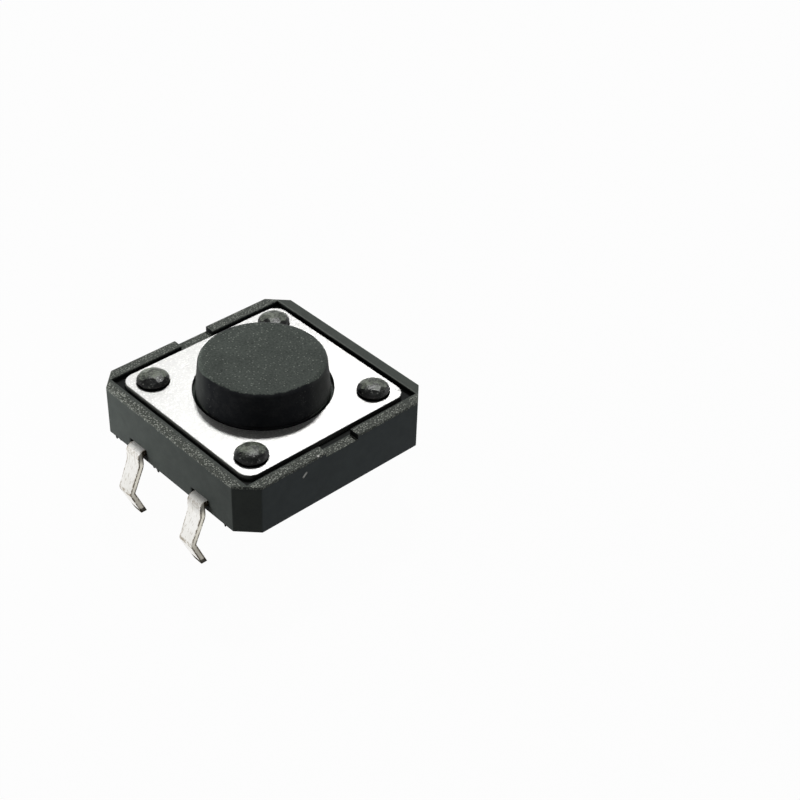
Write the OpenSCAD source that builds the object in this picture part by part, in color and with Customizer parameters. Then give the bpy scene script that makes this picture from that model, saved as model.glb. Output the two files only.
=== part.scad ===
// Tactile push button switch, 12 mm square, with four snap-in terminals for a circuit board.
// Millimetres. The origin is the middle of the board face that the feet stand on, +Z points
// from the board to the button, and the terminals leave the housing along X.

/* [Housing] */
// Side of the square housing
housing_side = 12; // [11:0.5:14]
// Height of its sides, from the underside to the top of the rim
side_height = 2.8; // [2.6:0.1:4]
// Leg of the cut across each upright corner
corner_cut = 1; // [0.6:0.1:1.4]
// Thickness of the rim round the cover plate
rim_wall = 0.6; // [0.45:0.05:0.8]
// Least wall that the cover plate's recess leaves behind a cut corner
corner_wall = 0.12; // [0.1:0.01:0.2]
// Break in the rim, on the two sides without terminals
rim_break = 2; // [1:0.25:4]

/* [Feet] */
// Height of the feet
foot_height = 0.4; // [0.2:0.1:1]
// Length of a foot along X
foot_length = 2.35; // [1.5:0.05:3]
// Width of a foot along Y
foot_width = 1.85; // [1:0.05:2.2]
// Step from the housing's outline in to a foot
foot_inset = 0.6; // [0.3:0.1:1]
// Diameter of the small stub that the mould's inlet leaves on the underside
gate_diameter = 0.36; // [0.2:0.02:0.8]
// Height of that stub
gate_height = 0.08; // [0.04:0.02:0.15]
// Distance of the stub from the middle, along Y
gate_shift = 1.1; // [0:0.1:1.5]

/* [Cover plate] */
// Thickness of the steel plate
plate_thickness = 0.3; // [0.2:0.05:0.4]
// Channel between the plate's edge and the rim
plate_gap = 0.3; // [0.15:0.05:0.4]
// Corner radius of the plate
plate_corner = 0.7; // [0.3:0.1:1]
// Distance from the plate's edge in to the middle of a post
post_inset = 1.2; // [1:0.1:1.4]
// Diameter of the posts that hold the plate
post_diameter = 1.1; // [0.9:0.1:1.3]
// Play between a post and its hole in the plate
post_play = 0.05; // [0.03:0.01:0.1]
// Diameter of the head that heat forms on a post
head_diameter = 1.7; // [1.5:0.1:2]
// Height of that head over the plate
head_height = 0.5; // [0.35:0.05:0.7]
// Diameter of the flat that the forming tool leaves in the middle of the head
head_flat = 0.6; // [0.3:0.1:1]
// Way that the head slopes down from that flat to its edge
head_slope = 0.14; // [0.04:0.02:0.2]

/* [Button] */
// Steel between the button's hole and the edge of the plate
hole_border = 1.55; // [1.35:0.05:2.2]
// Way that the button's side draws in from the plate to the top
button_taper = 0.18; // [0.02:0.02:0.6]
// Height of the button's top over the plate
button_rise = 1.8; // [1.2:0.1:6]
// Rounding of the top's edge
button_edge = 0.25; // [0.05:0.05:0.4]
// Gap between the button and its hole in the plate
button_gap = 0.15; // [0.1:0.05:0.3]
// Way that the button goes down
travel = 0.3; // [0.2:0.05:0.35]
// Step from the button out to the rim of its flange
flange_lip = 0.7; // [0.5:0.05:0.9]
// Thickness of the flange
flange_thickness = 0.5; // [0.4:0.05:0.6]
// Running fit of the flange in the well, on the radius
flange_fit = 0.08; // [0.05:0.01:0.1]
// Diameter of the stem that presses on the dome
stem_diameter = 1.8; // [1.4:0.1:2.4]
// Wall of the button round its hollow underside
button_wall = 1; // [0.7:0.1:1.4]
// Thickness of the button's top over that hollow
button_roof = 1.1; // [0.7:0.1:1.4]

/* [Snap dome] */
// Rise of the dome, rim to middle
dome_rise = 0.42; // [0.38:0.02:0.6]
// Thickness of the spring sheet
dome_thickness = 0.08; // [0.06:0.01:0.1]
// Gap between the dome's rim and the wall of the well
dome_gap = 0.25; // [0.15:0.05:0.4]

/* [Contact strips] */
// Thickness of the sheet that both strips are stamped from
strip_thickness = 0.3; // [0.2:0.05:0.35]
// Width of a strip across the housing
strip_width = 1; // [0.8:0.05:1.2]
// Plastic under the strips
strip_cover = 0.3; // [0.2:0.05:0.5]
// Plastic over the strips, in the floor of the well
floor_cover = 0.15; // [0.1:0.05:0.3]
// Height of the outer contacts over that floor
contact_height = 0.05; // [0.03:0.01:0.1]
// Radius of an outer contact
outer_contact_radius = 0.4; // [0.3:0.05:0.5]
// Radius of the centre contact
centre_contact_radius = 0.6; // [0.4:0.05:0.8]
// Width of the arms that run to the contacts
arm_width = 0.8; // [0.6:0.05:1]
// Shift of the outer contacts and their slots along Y
contact_shift = 0.2; // [0:0.05:0.3]
// Length of the slots in the underside, along X
slot_length = 1.3; // [1.1:0.05:1.5]
// Width of such a slot
slot_width = 0.4; // [0.3:0.05:0.5]
// Plastic between the slots and the arm that passes them
slot_wall = 0.4; // [0.2:0.05:0.5]

/* [Terminals] */
// Distance between the two terminals on one side
terminal_pitch = 5; // [4.5:0.1:6]
// Distance from the housing's side out to a terminal's outer face
terminal_offset = 0.4; // [0.35:0.05:0.8]
// Width of a terminal at its knee
knee_width = 0.94; // [0.7:0.02:1]
// Width of a terminal at its tip
tip_width = 0.66; // [0.5:0.02:0.8]
// Rounding of the tip's corners
tip_corner = 0.16; // [0.04:0.02:0.2]
// Height over the board where a terminal starts to slant outward
slant_height = 0.1; // [-0.2:0.05:0.3]
// Way that the knee juts out past the upright stretch
knee_reach = 0.64; // [0.3:0.02:1]
// Depth of the knee below the board's face
knee_depth = 1.4; // [1:0.1:2]
// Way that a tip comes back in from the knee
tip_return = 0.74; // [0.3:0.02:1]
// Depth of the tips below the board's face
tip_depth = 3.1; // [2.5:0.1:4]
// Mean radius of the bend under the housing's side
bend_radius = 0.2; // [0.2:0.05:0.3]
// Mean radius of the soft bend where the slant starts
slant_radius = 0.8; // [0.4:0.1:1]
// Mean radius of the knee
knee_radius = 0.25; // [0.2:0.05:0.6]
// Room beside a terminal in its recess in the housing
recess_side_room = 0.15; // [0.05:0.01:0.2]
// Room over a terminal in that recess
recess_top_room = 0.08; // [0.02:0.01:0.1]
// Depth of that recess into the housing's side
recess_depth = 0.15; // [0.1:0.05:0.7]

/* [Hidden] */

$fn = 64;
// Faces of a rounded edge or of a bend
arc_steps = 6;
// Overshoot of a cut past the face that it opens
over = 0.2;
// Gap at rest between pieces that only press on each other
touch_gap = 0.02;

// Heights over the board
underside_z = foot_height;
rim_z = underside_z + side_height;
ledge_z = rim_z - plate_thickness;
strip_bottom_z = underside_z + strip_cover;
strip_top_z = strip_bottom_z + strip_thickness;
strip_middle_z = strip_bottom_z + strip_thickness / 2;
floor_z = strip_top_z + floor_cover;
dome_rim_z = floor_z + contact_height;
dome_top_z = dome_rim_z + dome_rise + dome_thickness;
centre_contact_z = dome_rim_z + dome_rise - travel - touch_gap;
flange_top_z = ledge_z - touch_gap;
flange_bottom_z = flange_top_z - flange_thickness;
stem_bottom_z = dome_top_z + touch_gap;
button_top_z = rim_z + button_rise;

// Distances from the middle
housing_half = housing_side / 2;
recess_half = housing_half - rim_wall;
plate_half = recess_half - plate_gap;
post_at = plate_half - post_inset;
hole_radius = plate_half - hole_border;
button_radius = hole_radius - button_gap;
button_top_radius = button_radius - button_taper;
flange_radius = button_radius + flange_lip;
well_radius = flange_radius + flange_fit;
dome_radius = well_radius - dome_gap;
outer_contact_at = dome_radius - outer_contact_radius / 2;
arm_at = outer_contact_at - slot_length / 2 - slot_wall - arm_width / 2;
terminal_at = housing_half + terminal_offset - strip_thickness / 2;
strip_at = terminal_pitch / 2;

// Points and paths

function unit(v) = v / norm(v);

function turned(v, angle) = [v.x * cos(angle) - v.y * sin(angle), v.x * sin(angle) + v.y * cos(angle)];

function flipped(points) = [for (i = [len(points) - 1:-1:0]) points[i]];

// Arc that rounds the corner b of the path a, b, c
function rounded_corner(a, b, c, radius) =
  let (
    back = unit(a - b),
    on = unit(c - b),
    half_angle = acos(back * on) / 2,
    middle = b + unit(back + on) * radius / sin(half_angle),
    start = b + back * radius / tan(half_angle) - middle,
    way = sign(back.y * on.x - back.x * on.y) * (180 - 2 * half_angle)
  )
  [for (i = [0:arc_steps]) middle + turned(start, way * i / arc_steps)];

// Path through the corners, each inner corner rounded by its own radius
function rounded_path(corners, radii) = [
  corners[0],
  for (i = [1:len(corners) - 2])
    each rounded_corner(corners[i - 1], corners[i], corners[i + 1], radii[i - 1]),
  corners[len(corners) - 1]
];

// Point beside a path's i-th point, so that the path gets an even thickness
function beside(path, i, distance) =
  let (
    last = len(path) - 1,
    before = unit(path[max(i, 1)] - path[max(i, 1) - 1]),
    after = unit(path[min(i, last - 1) + 1] - path[min(i, last - 1)])
  )
  path[i] + distance * turned(before + after, 90) / (1 + before * after);

// Outline of a sheet that is bent along the path
function sheet_outline(path, thickness) = concat(
  [for (i = [0:len(path) - 1]) beside(path, i, thickness / 2)],
  [for (i = [len(path) - 1:-1:0]) beside(path, i, -thickness / 2)]
);

// Quarter of a circle from straight out to straight up
function quarter_arc(middle, radius) =
  [for (i = [0:arc_steps]) middle + turned([radius, 0], 90 * i / arc_steps)];

// Shared shapes

// Square with cut corners, stepped in from the housing's outline by the same amount all round
module housing_outline(step = 0) {
  half = housing_half - step;
  cut = corner_cut - step * (2 - sqrt(2));
  polygon([
    [half, half - cut], [half - cut, half], [cut - half, half], [-half, half - cut],
    [-half, cut - half], [cut - half, -half], [half - cut, -half], [half, cut - half]
  ]);
}

// Copies at the four posts
module at_posts() {
  for (x = [-post_at, post_at], y = [-post_at, post_at]) translate([x, y, 0]) children();
}

// Copies at both ends of the X axis, the second one turned over to the other side
module at_both_sides() {
  children();
  mirror([1, 0, 0]) children();
}

// Contact strips

// One strip from tip to tip: across the housing, down at both sides, out to the knees and in again
module terminal_strip() {
  half_path = [
    [terminal_at, strip_middle_z],
    [terminal_at, slant_height],
    [terminal_at + knee_reach, -knee_depth],
    [terminal_at + knee_reach - tip_return, -tip_depth]
  ];
  half_radii = [bend_radius, slant_radius, knee_radius];
  corners = concat(flipped([for (p = half_path) [-p.x, p.y]]), half_path);
  path = rounded_path(corners, concat(flipped(half_radii), half_radii));
  reach = terminal_at + knee_reach + strip_thickness;

  intersection() {
    rotate([90, 0, 0])
      linear_extrude(2 * strip_width, center = true)
        polygon(sheet_outline(path, strip_thickness));
    rotate([90, 0, 90])
      linear_extrude(2 * reach, center = true)
        terminal_width_outline();
  }
}

// Front view of a strip: full width in the housing, narrower at the knee and narrowest at the tip,
// which is rounded at its corners. Its lower line also takes the outer edge off the tip's end.
module terminal_width_outline() {
  tip_arc = quarter_arc([tip_width / 2 - tip_corner, 0], tip_corner);
  right_side = concat(
    flipped([for (p = tip_arc) [p.x, tip_corner - tip_depth - p.y]]),
    [
      [knee_width / 2, -knee_depth],
      [strip_width / 2, slant_height],
      [strip_width / 2, strip_top_z + over]
    ]
  );
  polygon(concat(right_side, flipped([for (p = right_side) [-p.x, p.y]])));
}

// The strip that the dome closes on: an arm carries its contact in the middle of the well
module centre_contact_shape() {
  translate([0, strip_at, 0]) terminal_strip();
  translate([-arm_width / 2, 0, strip_bottom_z]) cube([arm_width, strip_at, strip_thickness]);
  translate([0, 0, strip_bottom_z]) cylinder(r = centre_contact_radius, h = centre_contact_z - strip_bottom_z);
}

// The strip that the dome stands on: two arms carry a contact under each side of the dome's rim
module outer_contact_shape() {
  translate([0, -strip_at, 0]) terminal_strip();
  at_both_sides() {
    translate([arm_at - arm_width / 2, -strip_at, strip_bottom_z])
      cube([arm_width, strip_at + contact_shift + arm_width / 2, strip_thickness]);
    translate([arm_at, contact_shift - arm_width / 2, strip_bottom_z])
      cube([outer_contact_at + outer_contact_radius - arm_at, arm_width, strip_thickness]);
    translate([outer_contact_at, contact_shift, strip_bottom_z])
      cylinder(r = outer_contact_radius, h = dome_rim_z - strip_bottom_z);
  }
}

module centre_contact() {
  color("whitesmoke") centre_contact_shape();
}

module outer_contact() {
  color("whitesmoke") outer_contact_shape();
}

// Housing

// Block with its rim, before anything is cut into it
module housing_block() {
  translate([0, 0, underside_z]) linear_extrude(side_height) housing_outline();
}

// Recess that the cover plate lies in: square, and cut across only where a corner would get thin
module plate_recess() {
  translate([0, 0, ledge_z])
    linear_extrude(plate_thickness + over)
      intersection() {
        square(2 * recess_half, center = true);
        rotate(45) square(sqrt(2) * (2 * housing_half - corner_cut) - 2 * corner_wall, center = true);
      }
}

// Round well for the flange of the button and the dome
module well() {
  translate([0, 0, floor_z]) cylinder(r = well_radius, h = rim_z - floor_z + over);
}

// Break in the rim, right across the housing, down to the level that the plate lies on
module rim_breaks() {
  translate([-rim_break / 2, -housing_half - over, ledge_z])
    cube([rim_break, housing_side + 2 * over, plate_thickness + over]);
}

// Recess in the lower edge of a side, where a terminal comes out and bends down
module terminal_recess() {
  width = strip_width + 2 * recess_side_room;
  translate([housing_half - recess_depth, -width / 2, underside_z - over])
    cube([recess_depth + over, width, strip_top_z + recess_top_room - underside_z + over]);
}

// Two slots beside an outer contact, from the underside up past its arm
module contact_slots() {
  for (side = [-1, 1])
    translate([outer_contact_at, contact_shift + side * (arm_width + slot_width) / 2, 0])
      translate([-slot_length / 2, -slot_width / 2, underside_z - over])
        cube([slot_length, slot_width, strip_top_z - underside_z + over]);
}

// Foot under one corner, cut across like the corner itself
module foot() {
  inner = housing_half - foot_inset;
  linear_extrude(foot_height)
    intersection() {
      housing_outline(foot_inset);
      translate([inner - foot_length, inner - foot_width]) square([foot_length, foot_width]);
    }
}

// Stub where the plastic went into the mould
module gate_stub() {
  translate([0, gate_shift, underside_z - gate_height]) cylinder(d = gate_diameter, h = gate_height);
}

// Post through the plate with its formed head: a low cone with a flat middle and a round shoulder
module staked_post() {
  head_radius = head_diameter / 2;
  flat_edge = [head_flat / 2, head_height];
  shoulder = [head_radius, head_height - head_slope];
  translate([0, 0, ledge_z]) cylinder(d = post_diameter, h = plate_thickness + head_height / 2);
  translate([0, 0, rim_z])
    rotate_extrude()
      polygon(concat(
        [[0, 0], [head_radius, 0]],
        rounded_corner([head_radius, 0], shoulder, flat_edge, 0.8 * shoulder.y),
        [flat_edge, [0, head_height]]
      ));
}

module housing() {
  color("dimgray") {
    difference() {
      housing_block();
      plate_recess();
      well();
      rim_breaks();
      at_both_sides() {
        for (y = [-strip_at, strip_at]) translate([0, y, 0]) terminal_recess();
        contact_slots();
      }
      centre_contact_shape();
      outer_contact_shape();
    }
    at_both_sides() {
      foot();
      mirror([0, 1, 0]) foot();
    }
    gate_stub();
    at_posts() staked_post();
  }
}

// Cover plate

module plate_outline() {
  straight = 2 * (plate_half - plate_corner);
  square([2 * plate_half, straight], center = true);
  square([straight, 2 * plate_half], center = true);
  for (x = [-straight, straight] / 2, y = [-straight, straight] / 2)
    translate([x, y]) circle(plate_corner);
}

module cover_plate() {
  color("silver")
    difference() {
      translate([0, 0, ledge_z]) linear_extrude(plate_thickness) plate_outline();
      translate([0, 0, ledge_z - over])
        cylinder(r = hole_radius, h = plate_thickness + 2 * over);
      at_posts()
        translate([0, 0, ledge_z - over])
          cylinder(d = post_diameter + 2 * post_play, h = plate_thickness + 2 * over);
    }
}

// Button: tapered top, flange that the plate holds down, stem in a hollow underside

module button() {
  stem_radius = stem_diameter / 2;
  hollow_radius = button_top_radius - button_wall;
  hollow_z = button_top_z - button_roof;
  color("dimgray")
    rotate_extrude()
      polygon(concat(
        [
          [0, stem_bottom_z], [stem_radius, stem_bottom_z], [stem_radius, hollow_z],
          [hollow_radius, hollow_z], [hollow_radius, flange_bottom_z],
          [flange_radius, flange_bottom_z], [flange_radius, flange_top_z],
          [button_radius, flange_top_z], [button_radius, rim_z]
        ],
        quarter_arc([button_top_radius - button_edge, button_top_z - button_edge], button_edge),
        [[0, button_top_z]]
      ));
}

// Snap dome: thin cap of a sphere that stands on the outer contacts

module snap_dome() {
  outer_rise = dome_rise + dome_thickness;
  sphere_radius = (dome_radius * dome_radius + outer_rise * outer_rise) / (2 * outer_rise);
  middle_z = dome_top_z - sphere_radius;
  color("gainsboro")
    rotate_extrude()
      intersection() {
        difference() {
          translate([0, middle_z]) circle(sphere_radius, $fn = 360);
          translate([0, middle_z]) circle(sphere_radius - dome_thickness, $fn = 360);
        }
        translate([0, dome_rim_z]) square([dome_radius + over, outer_rise + over]);
      }
}

housing();
cover_plate();
button();
snap_dome();
centre_contact();
outer_contact();
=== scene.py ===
import math
import random

import bmesh
import bpy
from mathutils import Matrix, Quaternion, Vector, noise


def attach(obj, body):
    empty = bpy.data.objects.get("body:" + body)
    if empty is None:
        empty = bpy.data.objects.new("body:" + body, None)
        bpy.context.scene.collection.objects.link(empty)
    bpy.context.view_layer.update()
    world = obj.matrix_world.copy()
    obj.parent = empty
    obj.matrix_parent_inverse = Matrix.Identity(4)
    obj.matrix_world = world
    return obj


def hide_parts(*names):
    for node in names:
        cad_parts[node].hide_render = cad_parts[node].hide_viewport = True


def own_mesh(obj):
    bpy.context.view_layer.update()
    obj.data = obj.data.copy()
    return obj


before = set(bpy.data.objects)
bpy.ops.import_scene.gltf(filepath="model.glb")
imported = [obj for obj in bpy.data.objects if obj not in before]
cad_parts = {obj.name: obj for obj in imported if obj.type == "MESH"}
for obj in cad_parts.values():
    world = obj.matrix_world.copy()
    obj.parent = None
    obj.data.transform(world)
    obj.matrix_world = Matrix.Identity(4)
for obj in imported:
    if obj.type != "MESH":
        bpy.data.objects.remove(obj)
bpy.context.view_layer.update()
mm = 0.001


# Contact strips
# Two strips stamped from tin plated brass sheet, 0.3 mm thick. The housing is moulded round their
# middles, and their four ends are bent down, out to a knee and in again, to snap into a board.

class Shade:
    """A shader socket. Arithmetic on it adds Math nodes to its material."""

    def __init__(self, tree, socket):
        self.tree = tree
        self.socket = socket

    def __getitem__(self, output):
        """Another output of the node that this socket belongs to."""
        return Shade(self.tree, self.socket.node.outputs[output])

    def node(self, kind, settings, sockets):
        """A new node: its settings come first, then the values or links of its sockets."""
        made = self.tree.nodes.new("ShaderNode" + kind)
        for name, setting in settings.items():
            setattr(made, name, setting)
        for name, given in sockets.items():
            if isinstance(given, Shade):
                self.tree.links.new(given.socket, made.inputs[name])
            else:
                made.inputs[name].default_value = given
        return Shade(self.tree, made.outputs[0]) if made.outputs else None

    def maths(self, operation, first, second):
        return self.node("Math", {"operation": operation}, {0: first, 1: second})

    def __add__(self, other):
        return self.maths("ADD", self, other)

    def __radd__(self, other):
        return self.maths("ADD", other, self)

    def __sub__(self, other):
        return self.maths("SUBTRACT", self, other)

    def __rsub__(self, other):
        return self.maths("SUBTRACT", other, self)

    def __mul__(self, other):
        return self.maths("MULTIPLY", self, other)

    def __rmul__(self, other):
        return self.maths("MULTIPLY", other, self)

    def size(self):
        return self.maths("ABSOLUTE", self, 0.0)

    def least(self, other):
        return self.maths("MINIMUM", self, other)

    def most(self, other):
        return self.maths("MAXIMUM", self, other)

    def rise(self, low, high):
        """0 at low, 1 at high, and a soft step between. Low may be the greater of the two."""
        return self.node("MapRange", {"interpolation_type": "SMOOTHSTEP"},
                         {"Value": self, "From Min": low, "From Max": high})

    def grain(self, scale, detail, rough=0.5, stretch=None):
        """Noise over a place in millimetres, about 0.5 in the middle. scale is lumps per millimetre."""
        place = self
        if stretch:
            place = self.node("VectorMath", {"operation": "MULTIPLY"}, {0: self, 1: stretch})
        return place.node("TexNoise", {},
                          {"Vector": place, "Scale": scale, "Detail": detail, "Roughness": rough})

    def sparkle(self, scale):
        """Soft round grains, each of its own value from 0 to 1, and 0 between them. scale is grains
        per millimetre."""
        away = self.node("TexVoronoi", {}, {"Vector": self, "Scale": scale})
        value = self.node("SeparateXYZ", {}, {"Vector": away["Color"]})
        return value * (1 - away.rise(0.20, 0.60))

    def mixed(self, first, second):
        """Colour that goes from first to second as this value goes from 0 to 1."""
        mix = self.node("Mix", {"data_type": "RGBA"}, {0: self, 6: first, 7: second})
        return mix[2]

    def bump(self, depth):
        """Normal of a surface that this value raises by depth in millimetres."""
        return self.node("Bump", {}, {"Strength": 1.0, "Distance": depth * mm, "Height": self})


def new_finish(name):
    """A material and the place on the object, in millimetres."""
    material = bpy.data.materials.new(name)
    material.use_nodes = True
    material.node_tree.nodes.clear()
    start = Shade(material.node_tree, None)
    place = start.node("TexCoord", {}, {})["Object"]
    return material, place.node("VectorMath", {"operation": "SCALE"}, {0: place, "Scale": 1 / mm})


def coat(place, sockets):
    """The material's one shader, with these values and links."""
    shader = place.node("BsdfPrincipled", {}, sockets)
    place.node("OutputMaterial", {}, {"Surface": shader})


def put_on(piece, material):
    piece.data.materials.clear()
    piece.data.materials.append(material)


strip_pitch = 5.0
knee_x = 6.89
knee_z = -1.4
knee_half_width = 0.47
tip_z = -3.1
bend_z = 0.1
exit_low_z = 0.50
exit_high_z = 0.94
# How far the strip moves and how its half width changes for each millimetre of height, above the knee
# and below it
upper_lean = 0.427
lower_lean = 0.435
upper_widening = 0.02
lower_widening = 0.0886


def tin_finish():
    """Bright tin with rolling lines, darkened brown where the sheet was cut and bent, partly by stains
    and partly as painted shade of the rounded edges and folds, and dark at the tips, as bare brass with
    painted shade. The cut edges are cream above and grey below, the grey as painted shade, with dark
    mottles along both their borders."""
    material, place = new_finish("tinned_brass")
    facing = place.node("TexCoord", {}, {})["Normal"]
    sides = place.node("SeparateXYZ", {}, {"Vector": facing})
    at = place.node("SeparateXYZ", {}, {"Vector": place})
    cut = sides[1].size().rise(0.45, 0.8)
    over_knee = at[2].least(bend_z) - knee_z
    upper_half_width = knee_half_width + over_knee * upper_widening
    half_width = upper_half_width.least(knee_half_width + over_knee * lower_widening)
    from_middle = (at[1].size() - strip_pitch / 2).size()
    border = (from_middle - half_width).rise(-0.075, -0.02)
    middle_x = (knee_x - over_knee * upper_lean).least(knee_x + over_knee * lower_lean)
    cut_border = (at[0].size() - middle_x).size().rise(0.05, 0.12)
    stains = place.grain(5.5, 4.0, 0.75)
    lines = place.grain(9.0, 3.0, 0.6, (1.0, 3.5, 0.35))
    blotches = place.grain(1.1, 3.0, 0.6)
    bright = (lines * 0.45 + blotches * 0.55).rise(0.36, 0.60)
    tin = bright.mixed((0.86, 0.845, 0.80, 1), (0.98, 0.97, 0.94, 1))
    knee = 1 - (at[2] - knee_z).size().rise(0.05, 0.20)
    bend = at[2].rise(exit_low_z, exit_low_z + 0.14) * (1 - at[2].rise(exit_high_z - 0.10, exit_high_z))
    scratches = place.grain(9.0, 2.0, 0.6, (1.0, 1.5, 0.06)).rise(0.60, 0.66)
    # Brown at borders, knee and bend: partly stain, partly painted shade of edges and folds
    stain_and_edge_shade = (border * 0.8 + knee * 0.9 + bend * 0.4) * stains.rise(0.40, 0.60) + scratches * 0.4
    face = stain_and_edge_shade.least(1.0).mixed(tin, (0.30, 0.245, 0.17, 1))
    # The cut edges turn grey towards the bottom: painted shade
    pale_cut = at[2].rise(-1.9, -0.6).mixed((0.42, 0.40, 0.35, 1), (0.80, 0.77, 0.68, 1))
    mottles = (stains + at[2].rise(-0.8, 0.4) * 0.08).rise(0.38, 0.52) * cut_border
    cut_tin = mottles.mixed(pale_cut, (0.07, 0.055, 0.035, 1))
    # Dark tips: bare brass with painted shade
    tip = 1 - (at[2] + stains * 0.10).rise(tip_z + 0.40, tip_z + 0.50)
    colour = (tip * (1 - cut * 0.6)).mixed(cut.mixed(face, cut_tin), (0.10, 0.088, 0.062, 1))
    relief = lines * 0.6 + place.grain(22.0, 2.0) * 0.4 + stain_and_edge_shade * 0.3
    dull = tip + at[2].rise(bend_z, bend_z + 0.5) * 0.8
    coat(place, {"Base Color": colour, "Metallic": 1 - dull, "Specular IOR Level": 0.0,
                 "Roughness": 0.32 + lines * 0.16 + cut * 0.12, "Normal": relief.bump(0.006)})
    return material


tinned_brass = tin_finish()
for node in ("centre_contact", "outer_contact"):
    put_on(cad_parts[node], tinned_brass)


# Housing
# One black moulding: a square block with cut corners, a rim round the cover plate, four feet and the
# recesses and slots that the mould leaves. Spark erosion of the mould gives it its fine grain.

housing_half = 6.0
recess_half = 5.4
break_half = 1.0
underside_z = 0.4
rim_z = 3.2
edge_wear = 0.035
weld_gap = 0.001
flat_turn = math.radians(0.6)
sharp_turn = math.radians(35)


def rounded_copy(node, name, width, top_z=None):
    """Copy of a solid with its sharp edges rounded by that width, without what is above top_z."""
    form = bmesh.new()
    form.from_mesh(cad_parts[node].data)
    bmesh.ops.remove_doubles(form, verts=form.verts, dist=weld_gap * mm)
    if top_z:
        above = [vert for vert in form.verts if vert.co.z > top_z * mm]
        bmesh.ops.delete(form, geom=above, context="VERTS")
    bmesh.ops.dissolve_limit(form, angle_limit=flat_turn, verts=form.verts, edges=form.edges)
    sharp = [edge for edge in form.edges if edge.is_manifold and edge.calc_face_angle(0) > sharp_turn]
    bmesh.ops.bevel(form, geom=sharp, offset=width * mm, offset_type="OFFSET", segments=2, profile=0.5,
                    affect="EDGES", clamp_overlap=False)
    return made_piece(form, name)


def made_piece(form, name, crease=50):
    """Object of that form, shaded smooth except at edges that turn by over crease degrees."""
    mesh = bpy.data.meshes.new(name)
    form.to_mesh(mesh)
    form.free()
    for face in mesh.polygons:
        face.use_smooth = True
    mesh.set_sharp_from_angle(angle=math.radians(crease))
    piece = bpy.data.objects.new(name, mesh)
    bpy.context.scene.collection.objects.link(piece)
    even = piece.modifiers.new("even_shading", "WEIGHTED_NORMAL")
    even.keep_sharp = True
    return piece


scratch_x = -2.365
scratch_z = 2.535
scratch_way = Vector((0.736, 0.677))
fleck_at = (-1.5, -5.95, rim_z)


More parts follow.
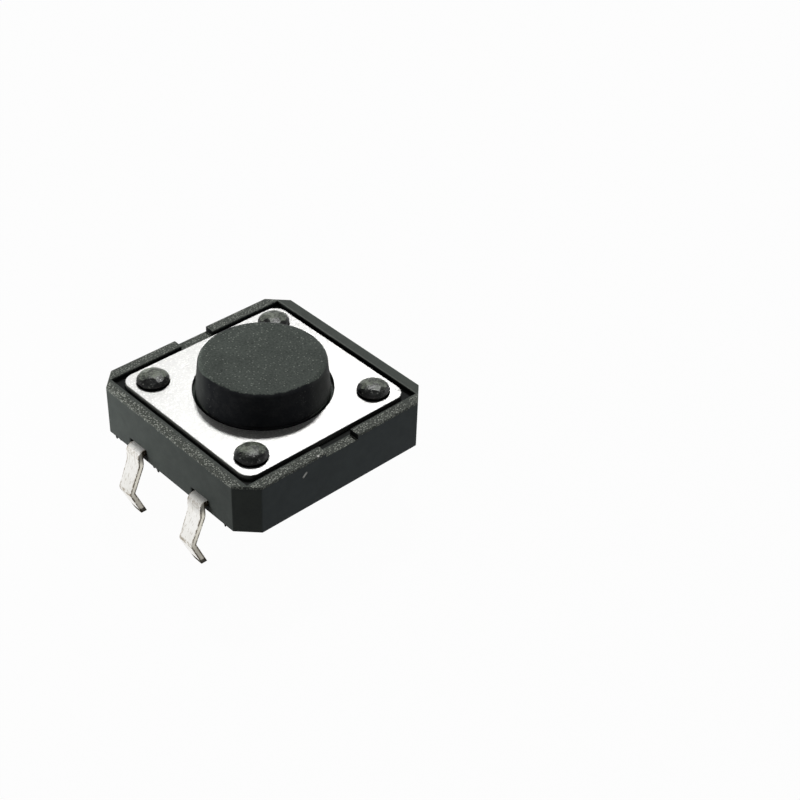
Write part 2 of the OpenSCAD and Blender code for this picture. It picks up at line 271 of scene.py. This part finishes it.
def moulding_finish():
    """Black moulded plastic, smooth on its sides. Faces that point up are painted lighter than the
    sides, as painted light. The tops of the rim are greyer where rubbing wore them, with painted glints
    on their
    grains: the one at -X on its outer part, the one at -Y but for its inner third, the one at +Y a
    little.
    The upper edges are lighter in specks, partly wear and partly painted highlight, and the inner edge
    at
    +X is a painted highlight. The side at -Y is bluer, as painted shade. One scratch and one fleck are
    white. Round the strips, inside the rim below the plate and on the end walls at +X of the breaks in
    the rim, the plastic is painted black as shade, and along the lower edges of the sides it is black."""
    material, place = new_finish("black_moulding")
    facing = place.node("SeparateXYZ", {}, {"Vector": place.node("TexCoord", {}, {})["Normal"]})
    at = place.node("SeparateXYZ", {}, {"Vector": place})
    up = facing[2].rise(0.35, 0.9)
    fine = place.grain(13.0, 3.0, 0.6)
    coarse = place.grain(1.6, 4.0, 0.6)
    ragged = place.grain(3.5, 4.0, 0.7)
    # Grains that raise the rubbed tops, painted bright in their colour: painted glints
    grain_glints = (place.sparkle(10.5) * 0.8 + fine * 0.5 + coarse * 0.4).rise(0.44, 0.95)
    high = (at[2] + ragged * 0.30).rise(rim_z, rim_z + 0.06)
    low_x = (at[0] + ragged * 0.26).rise(0.04 - recess_half, -0.12 - recess_half)
    low_y = (at[1] + ragged * 0.16).rise(0.04 - recess_half, -0.06 - recess_half)
    high_y = at[1].rise(recess_half - 0.04, recess_half + 0.04) * 0.6
    greyer_part = low_x.most(low_y).most(high_y) * high.most(up)
    # Faces that point up take a lighter tone than the sides: painted light
    top_tone = (fine * 0.5 + coarse * 0.5).mixed((0.040, 0.046, 0.042, 1), (0.110, 0.124, 0.110, 1))
    clouds = (fine * 0.25 + coarse * 0.75).rise(0.2, 0.8)
    green_side = clouds.mixed((0.043, 0.049, 0.046, 1), (0.061, 0.070, 0.064, 1))
    blue_side = clouds.mixed((0.043, 0.051, 0.053, 1), (0.061, 0.073, 0.075, 1))
    # The bluer side at -Y is painted shade
    side_tone = (facing[1] * -1).rise(0.75, 0.95).mixed(green_side, blue_side)
    rub_and_glint_tone = grain_glints.mixed((0.075, 0.082, 0.072, 1), (0.40, 0.42, 0.375, 1))
    # Lighter specks on the upper edges, partly wear and partly painted highlight; a painted highlight on
    # +X's inner edge
    slanted = facing[2].size().rise(0.08, 0.3) * (1 - facing[2].size().rise(0.9, 0.99))
    edge = slanted * at[2].rise(2.0, 2.5)
    inner_edge_highlight = (1 - (at[0] - recess_half - 0.02).size().rise(0.03, 0.07)) * up
    edge_wear_and_highlight = (edge * place.grain(3.0, 4.0, 0.7).rise(0.45, 0.6)).most(inner_edge_highlight * 0.7)
    colour = greyer_part.mixed(up.mixed(side_tone, top_tone), rub_and_glint_tone)
    colour = (edge_wear_and_highlight * 0.6).mixed(colour, (0.20, 0.215, 0.195, 1))
    # Painted shade: black on the end walls at +X of the breaks, round the strips' exits and inside below
    # the plate
    outward = at[0].size().most(at[1].size())
    break_end = (1 - (at[0] - break_half).size().rise(0.02, 0.05)) * (facing[0] * -1).rise(0.5, 0.8)
    from_strip = (at[1].size() - strip_pitch / 2).size() + ragged * 0.12
    exits = (1 - from_strip.rise(0.70, 0.90)) * (1 - (at[2] + ragged * 0.1).rise(1.08, 1.20))
    exits = exits * at[0].size().rise(housing_half - 0.3, housing_half - 0.2)
    low_line = 1 - at[2].rise(underside_z + 0.02, underside_z + 0.10)
    low_line = low_line * outward.rise(housing_half - 0.2, housing_half - 0.1)
    inside = 1 - outward.rise(recess_half, recess_half + 0.04)
    inside = inside * (1 - (at[2] + fine * 0.1).rise(rim_z - 0.08, rim_z)) * at[2].rise(0.8, 1.0)
    dark = break_end.most(exits).most(low_line).most(inside * 0.9)
    colour = dark.mixed(colour, (0.003, 0.004, 0.004, 1))
    from_x = at[0] - scratch_x
    from_z = at[2] - scratch_z
    along = from_x * scratch_way.x + from_z * scratch_way.y
    across = from_z * scratch_way.x - from_x * scratch_way.y
    scratch = (1 - along.size().rise(0.10, 0.21)) * (1 - across.size().rise(0.035, 0.085))
    scratch = scratch * (1 - at[1].rise(0.02 - housing_half, 0.05 - housing_half))
    fleck = place.node("VectorMath", {"operation": "DISTANCE"}, {0: place, 1: fleck_at})["Value"]
    marks = scratch.most(1 - fleck.rise(0.03, 0.09))
    colour = marks.mixed(colour, (0.80, 0.80, 0.76, 1))
    relief = fine * (0.35 + up * 0.4) + grain_glints * greyer_part * 0.9
    coat(place, {"Base Color": colour, "Roughness": 0.46 + fine * 0.16,
                 "Specular IOR Level": 0.08, "Normal": relief.bump(0.02)})
    return material


black_moulding = moulding_finish()
housing = rounded_copy("housing", "housing_moulding", edge_wear, rim_z + 0.01)
put_on(housing, black_moulding)
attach(housing, "base")
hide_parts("housing")

# Flash of the mould: webs under the strips, and nubs under the side at -X, by their y, width and drop
nubs = [
    (4.52, 0.18, 0.18), (4.18, 0.12, 0.11), (1.37, 0.14, 0.14), (1.02, 0.20, 0.18), (-4.31, 0.15, 0.17),
]
nub_slimness = 0.35
web_size = Vector((0.14, 1.30, 0.28))
web_x = housing_half - 0.08
web_z = 0.545
flash = bmesh.new()
for y, width, drop in nubs:
    nub = bmesh.ops.create_cone(flash, cap_ends=True, segments=7, radius1=width * nub_slimness * mm,
                                radius2=width * mm, depth=2 * drop * mm)
    bmesh.ops.scale(flash, verts=nub["verts"], vec=(nub_slimness, 1.0, 1.0))
    nub_middle = Vector((0.07 - housing_half, y, underside_z))
    bmesh.ops.translate(flash, verts=nub["verts"], vec=nub_middle * mm)
for x in (-web_x, web_x):
    for y in (-strip_pitch / 2, strip_pitch / 2):
        web = bmesh.ops.create_cube(flash, size=1)
        bmesh.ops.scale(flash, verts=web["verts"], vec=web_size * mm)
        bmesh.ops.translate(flash, verts=web["verts"], vec=Vector((x, y, web_z)) * mm)
mould_flash = made_piece(flash, "mould_flash")
put_on(mould_flash, black_moulding)
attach(mould_flash, "base")
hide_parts("housing")


# Formed heads
# The ends of the four posts, melted over the cover plate by a hot tool. Each is a low mushroom with an
# undercut rim, pressed to facets by the tool's worn face, and no two are alike.

post_at = 3.9
# Half of a head's section, as (radius, height) points, with height over the plate's face
head_profile = [
    (0.0, 0.500), (0.20, 0.500), (0.34, 0.490), (0.46, 0.468), (0.56, 0.438), (0.65, 0.398),
    (0.72, 0.350), (0.78, 0.296), (0.82, 0.240), (0.845, 0.180), (0.845, 0.145), (0.81, 0.110),
    (0.76, 0.085), (0.73, 0.045), (0.72, 0.004), (0.50, 0.004), (0.50, -0.10), (0.0, -0.10),
]
top_press = 0.045
# Two rings of facets: how many, their tilt in degrees, and the share of the head that they cut away
facet_rings = [(6, 22, 0.045), (8, 46, 0.035)]


def turned(outline, steps):
    """Form turned round the Z axis from (radius, height) points in millimetres."""
    form = bmesh.new()
    rings = []
    for radius, height in outline:
        count = 1 if radius == 0 else steps
        rings.append([form.verts.new((radius * mm * math.cos(math.tau * i / steps),
                                      radius * mm * math.sin(math.tau * i / steps), height * mm))
                      for i in range(count)])
    for lower, upper in zip(rings, rings[1:]):
        for i in range(steps):
            j = (i + 1) % steps
            below = [lower[i % len(lower)], lower[j % len(lower)]]
            above = [upper[j % len(upper)], upper[i % len(upper)]]
            form.faces.new(list(dict.fromkeys(below + above)))
    bmesh.ops.recalc_face_normals(form, faces=form.faces)
    return form


def pressed(form, towards, share):
    """The form cut flat on the side turned to that direction, share of the way through its cap."""
    reach = max(radius * towards.xy.length + height * towards.z for radius, height in head_profile)
    cut_at = towards * reach * (1 - share) * mm
    bmesh.ops.bisect_plane(form, geom=form.verts[:] + form.edges[:] + form.faces[:], dist=1e-8,
                           plane_co=cut_at, plane_no=towards, clear_outer=True)
    bmesh.ops.holes_fill(form, edges=[edge for edge in form.edges if edge.is_boundary])


def formed_head(chance, lean):
    """One head: the turned profile with a lumpy rim, pressed flat on top and to facets round that."""
    form = turned(head_profile, 56)
    seed = Vector((0, 0, chance.uniform(0, 50)))
    for vert in form.verts:
        if vert.co.z > 0.03 * mm:
            lump = noise.noise(vert.co / mm * 1.6 + seed) * 0.030
            lump += noise.noise(vert.co / mm * 5 + seed) * 0.012
            vert.co.xy *= 1 + lump - 0.02
    pressed(form, Vector((lean[0], lean[1], 1)).normalized(), top_press)
    for count, tilt, share in facet_rings:
        start = chance.uniform(0, math.tau)
        for i in range(count):
            turn = start + math.tau * (i + chance.uniform(-0.3, 0.3)) / count
            slope = math.radians(tilt + chance.uniform(-7, 7))
            towards = Vector((math.sin(slope) * math.cos(turn),
                              math.sin(slope) * math.sin(turn),
                              math.cos(slope)))
            pressed(form, towards, share + chance.uniform(-0.02, 0.02))
    return form


def formed_finish():
    """The same plastic, glazed where the hot tool pressed it and smeared grey by it. Faces turned up
    and towards +X and +Y are painted lighter, as painted light, and the rest of the rim is painted
    black, as painted shade."""
    material, place = new_finish("formed_moulding")
    facing = place.node("SeparateXYZ", {}, {"Vector": place.node("TexCoord", {}, {})["Normal"]})
    smears = place.grain(2.8, 4.0, 0.7)
    # Faces turned up and towards +X and +Y take the lit tone, the rest the black one: painted light and
    # shade
    up = (facing[2] + (facing[0] + facing[1]) * 0.40 + smears * 0.2).rise(0.82, 1.06)
    fine = place.grain(9.0, 3.0, 0.7)
    flecks = place.grain(5.0, 3.0, 0.8).rise(0.60, 0.68).most(place.sparkle(8.0).rise(0.55, 0.85))
    patches = (smears * 0.6 + fine * 0.4).rise(0.40, 0.62)
    top = patches.mixed((0.035, 0.040, 0.033, 1), (0.22, 0.245, 0.195, 1))
    side = smears.rise(0.38, 0.62).mixed((0.002, 0.002, 0.002, 1), (0.016, 0.018, 0.016, 1))
    colour = (flecks * 0.6).mixed(up.mixed(side, top), (0.24, 0.25, 0.23, 1))
    relief = smears * 0.6 + fine * 0.4
    coat(place, {"Base Color": colour, "Roughness": 0.20 + smears * 0.22,
                 "Specular IOR Level": 0.28, "Normal": relief.bump(0.040)})
    return material


# Where each head is, in x and y, and how its middle flat leans
head_places = [
    (-post_at, post_at, (0.10, 0.06)), (-post_at, -post_at, (-0.12, 0.14)),
    (post_at, -post_at, (-0.07, -0.17)), (post_at, post_at, (0.05, 0.16)),
]
heads = bmesh.new()
for number, (x, y, lean) in enumerate(head_places):
    one_head = formed_head(random.Random(number), lean)
    bmesh.ops.translate(one_head, verts=one_head.verts, vec=Vector((x, y, rim_z)) * mm)
    loose = bpy.data.meshes.new("head")
    one_head.to_mesh(loose)
    heads.from_mesh(loose)
    one_head.free()
    bpy.data.meshes.remove(loose)
formed_heads = made_piece(heads, "formed_heads", 9)
put_on(formed_heads, formed_finish())
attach(formed_heads, "base")
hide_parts("housing")


# Snap dome
# A disc of spring steel 0.08 mm thick, pressed to a shallow dome. It lies loose in the well under
# the button, with its rim on the outer contacts, and flattens as the button goes down.


def spring_finish():
    material, place = new_finish("spring_steel_sheet")
    lines = place.grain(12.0, 3.0, 0.6, (0.2, 3.0, 1.0))
    colour = lines.mixed((0.55, 0.54, 0.51, 1), (0.74, 0.73, 0.70, 1))
    coat(place, {"Base Color": colour, "Metallic": 1.0, "Roughness": 0.22 + lines * 0.15,
                 "Normal": lines.bump(0.003)})
    return material


disc = bmesh.new()
disc.from_mesh(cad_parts["snap_dome"].data)
bmesh.ops.remove_doubles(disc, verts=disc.verts, dist=weld_gap * mm)
snap_disc = made_piece(disc, "snap_disc")
put_on(snap_disc, spring_finish())
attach(snap_disc, "base")
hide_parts("snap_dome")
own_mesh(snap_disc)


# Button
# A round black moulding in one piece with its flange, which the cover plate keeps in the well. Its top
# has a coarser spark eroded grain with painted glints, and its side is smooth.

def rounded(points, radii):
    """The outline with each inner corner rounded by its own radius, in four steps."""
    outline = [points[0]]
    for before, corner, after, radius in zip(points, points[1:], points[2:], radii):
        corner = Vector(corner)
        back = (Vector(before) - corner).normalized()
        on = (Vector(after) - corner).normalized()
        half = back.angle(on) / 2
        middle = corner + (back + on).normalized() * radius / math.sin(half)
        start = corner + back * radius / math.tan(half) - middle
        end = corner + on * radius / math.tan(half) - middle
        for i in range(5):
            outline.append(tuple(middle + start.slerp(end, i / 4).normalized() * radius))
    outline.append(points[-1])
    return outline


# Half of the button's section, as (radius, height) points, and the radius of each of its corners
button_points = [
    (0, 1.72), (0.9, 1.72), (0.9, 3.9), (2.22, 3.9), (2.22, 2.38), (4.1, 2.38), (4.1, 2.88),
    (3.4, 2.88), (3.4, 3.13), (3.33, 3.17), (3.33, 3.22), (3.385, 3.26), (3.22, 5.0), (0, 5.0),
]
button_edges = [0.05, 0.05, 0.05, 0.05, 0.05, 0.05, 0.02, 0.03, 0.01, 0.01, 0.01, 0.32]


def button_finish():
    """Black plastic. Its top has an eroded grain with painted glints, and the line where that grain
    meets the smooth side is ragged. Where the side faces +X -Y and -X +Y it is painted greyer, with
    painted glints, and the top's tone reaches further down the edge there: painted light."""
    material, place = new_finish("button_moulding")
    facing = place.node("SeparateXYZ", {}, {"Vector": place.node("TexCoord", {}, {})["Normal"]})
    fine = place.grain(9.0, 3.0, 0.65)
    coarse = place.grain(0.8, 3.0, 0.6)
    ragged = place.grain(3.5, 3.0, 0.75)
    at = place.node("SeparateXYZ", {}, {"Vector": place})
    shoulder = (at[0] - at[1]).size() * math.sqrt(0.5)
    # Bright grains painted into the colour of the top and the lit sides: painted glints
    glints = (place.sparkle(7.5) * 0.9 + coarse * 0.4 + fine * 0.3).rise(0.84, 1.12)
    # The top's tone reaches further down the edge where it faces +X -Y and -X +Y: painted light
    up = (facing[2] + ragged * 0.3 + shoulder.rise(2.2, 3.0) * 0.35).rise(1.055, 1.125)
    clouds = (fine * 0.7 + coarse * 0.3).rise(0.3, 0.7)
    tone = clouds.mixed((0.044, 0.052, 0.046, 1), (0.104, 0.120, 0.106, 1))
    top = glints.mixed(tone, (0.21, 0.23, 0.205, 1))
    scuffs = place.grain(1.8, 4.0, 0.7).rise(0.42, 0.70)
    side = (scuffs * 0.6 + fine * 0.4).mixed((0.008, 0.009, 0.011, 1), (0.027, 0.028, 0.029, 1))
    # The side is greyer where it faces +X -Y and -X +Y: painted light
    greyer_part = (glints * shoulder.rise(1.4, 2.6)).most(shoulder.rise(2.3, 3.2))
    side = (greyer_part * 0.6).mixed(side, (0.070, 0.075, 0.070, 1))
    relief = fine * (0.3 + up * 0.5) + glints * (0.3 + up * 0.4)
    coat(place, {"Base Color": up.mixed(side, top), "Roughness": 0.46 + fine * 0.15,
                 "Specular IOR Level": 0.06, "Normal": relief.bump(0.022)})
    return material


button = made_piece(turned(rounded(button_points, button_edges), 160), "push_button")
put_on(button, button_finish())
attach(button, "plunger")
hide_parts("button")


# Cover plate
# Stamped steel sheet, 0.3 mm, satin on its faces and torn dark where the punch cut it. The shear band
# at the top of the cut is grey only where it faces -X, as painted light, and the cut elsewhere is
# painted dark as shade. It lies in the recess of the housing, over the button's flange, and the four
# posts hold it.

def plate_finish():
    material, place = new_finish("satin_steel")
    facing = place.node("TexCoord", {}, {})["Normal"]
    turned_to = place.node("SeparateXYZ", {}, {"Vector": facing})
    flat = turned_to[2].size().rise(0.2, 0.6)
    height = place.node("SeparateXYZ", {}, {"Vector": place})[2]
    fine = place.grain(8.0, 3.0, 0.8)
    lines = place.grain(7.0, 3.0, 0.6, (0.25, 3.0, 1.0))
    steel = (fine * 0.4 + lines * 0.2 + place.sparkle(9.0) * 0.4).rise(0.25, 0.65)
    steel = steel.mixed((0.50, 0.50, 0.49, 1), (0.65, 0.65, 0.63, 1))
    sheared_and_lit = (height + fine * 0.10).rise(rim_z - 0.26, rim_z - 0.14)
    # Grey only where the cut faces -X, dark elsewhere: painted light and shade
    sheared_and_lit = sheared_and_lit * (0.1 + (turned_to[0] * -1).rise(0.3, 0.8) * 0.9)
    cut = sheared_and_lit.mixed((0.01, 0.011, 0.010, 1), (0.24, 0.25, 0.23, 1))
    relief = fine * 0.8 + lines * 0.2
    coat(place, {"Base Color": flat.mixed(cut, steel), "Metallic": flat, "Roughness": 0.40 + fine * 0.10,
                 "Specular IOR Level": 0.2, "Normal": relief.bump(0.016)})
    return material


plate = rounded_copy("cover_plate", "plate_of_steel", 0.03)
put_on(plate, plate_finish())
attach(plate, "base")
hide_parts("cover_plate")


# Floor, light and camera
# A plain white floor under the tips of the terminals, a soft light above it and one from each side, a
# pale room that is brighter near the ground, and the camera where it was for the photograph.

floor_z = tip_z - 0.06
floor_half = 900
floor_white = 0.975


def floor_finish():
    """White for the camera, with a faint shadow of the switch; a pale floor for all other light."""
    material, place = new_finish("white_floor")
    plain = place.node("BsdfPrincipled", {}, {"Base Color": (0.30, 0.30, 0.30, 1), "Roughness": 0.9,
                                              "Specular IOR Level": 0.0})
    white = place.node("Emission", {}, {"Color": (1, 1, 1, 1), "Strength": 1.0})
    ray = place.node("LightPath", {}, {})
    seen = ray["Is Camera Ray"].most(ray["Is Glossy Ray"]) * floor_white
    shader = place.node("MixShader", {}, {0: seen, 1: plain, 2: white})
    place.node("OutputMaterial", {}, {"Surface": shader})
    return material


sheet = bmesh.new()
bmesh.ops.create_grid(sheet, x_segments=1, y_segments=1, size=floor_half * mm)
bmesh.ops.translate(sheet, verts=sheet.verts, vec=(0, 0, floor_z * mm))
floor = made_piece(sheet, "floor")
put_on(floor, floor_finish())

world = bpy.data.worlds.new("studio")
bpy.context.scene.world = world
world.use_nodes = True
world.node_tree.nodes.clear()
sky = Shade(world.node_tree, None)
sky_ray = sky.node("LightPath", {}, {})
sky_height = sky.node("SeparateXYZ", {}, {"Vector": sky.node("TexCoord", {}, {})["Generated"]})[2]
room_level = 0.12
room_gloss = 0.80 - sky_height.rise(0.25, 0.55) * 0.62
seen_level = sky_ray["Is Camera Ray"] * (1 - room_level)
sky_level = room_level + seen_level + sky_ray["Is Glossy Ray"] * room_gloss
background = sky.node("Background", {}, {"Color": (1, 1, 1, 1), "Strength": sky_level})
sky.node("OutputWorld", {}, {"Surface": background})


def lamp(name, towards, distance, width, share):
    """A soft square lamp. share is the light it gives a face turned to it, where 1 shows a colour as
    it is written."""
    light = bpy.data.lights.new(name, "AREA")
    light.size = width * mm
    light.energy = share * math.pi ** 2 * (distance * mm) ** 2
    holder = bpy.data.objects.new(name, light)
    holder.location = Vector(towards).normalized() * distance * mm
    holder.rotation_mode = "QUATERNION"
    holder.rotation_quaternion = Vector(towards).to_track_quat("Z", "Y")
    bpy.context.scene.collection.objects.link(holder)
    return holder


lamp("light_above", (0.375, 0.353, 0.857), distance=200, width=18, share=0.56)
light_left = lamp("light_left", (-0.72, 0.68, 0.15), distance=30, width=14, share=0.85)
light_left.visible_glossy = False
lamp("light_right", (0.80, -0.55, 0.25), distance=160, width=80, share=0.12)

camera_at = Vector((-40.58, -51.21, 52.71))
aimed_at = Vector((5.20, -4.51, 2.35))
camera_roll = 2.28
camera = bpy.data.objects.new("camera", bpy.data.cameras.new("camera"))
camera.data.sensor_width = 36
camera.data.lens = 73.4
camera.data.clip_start = 5 * mm
camera.data.clip_end = 5000 * mm
camera.location = camera_at * mm
camera.rotation_mode = "QUATERNION"
towards_switch = (aimed_at - camera_at).to_track_quat("-Z", "Y")
camera.rotation_quaternion = towards_switch @ Quaternion((0, 0, 1), math.radians(camera_roll))
bpy.context.scene.collection.objects.link(camera)
bpy.context.scene.camera = camera
bpy.context.scene.view_settings.view_transform = "Standard"
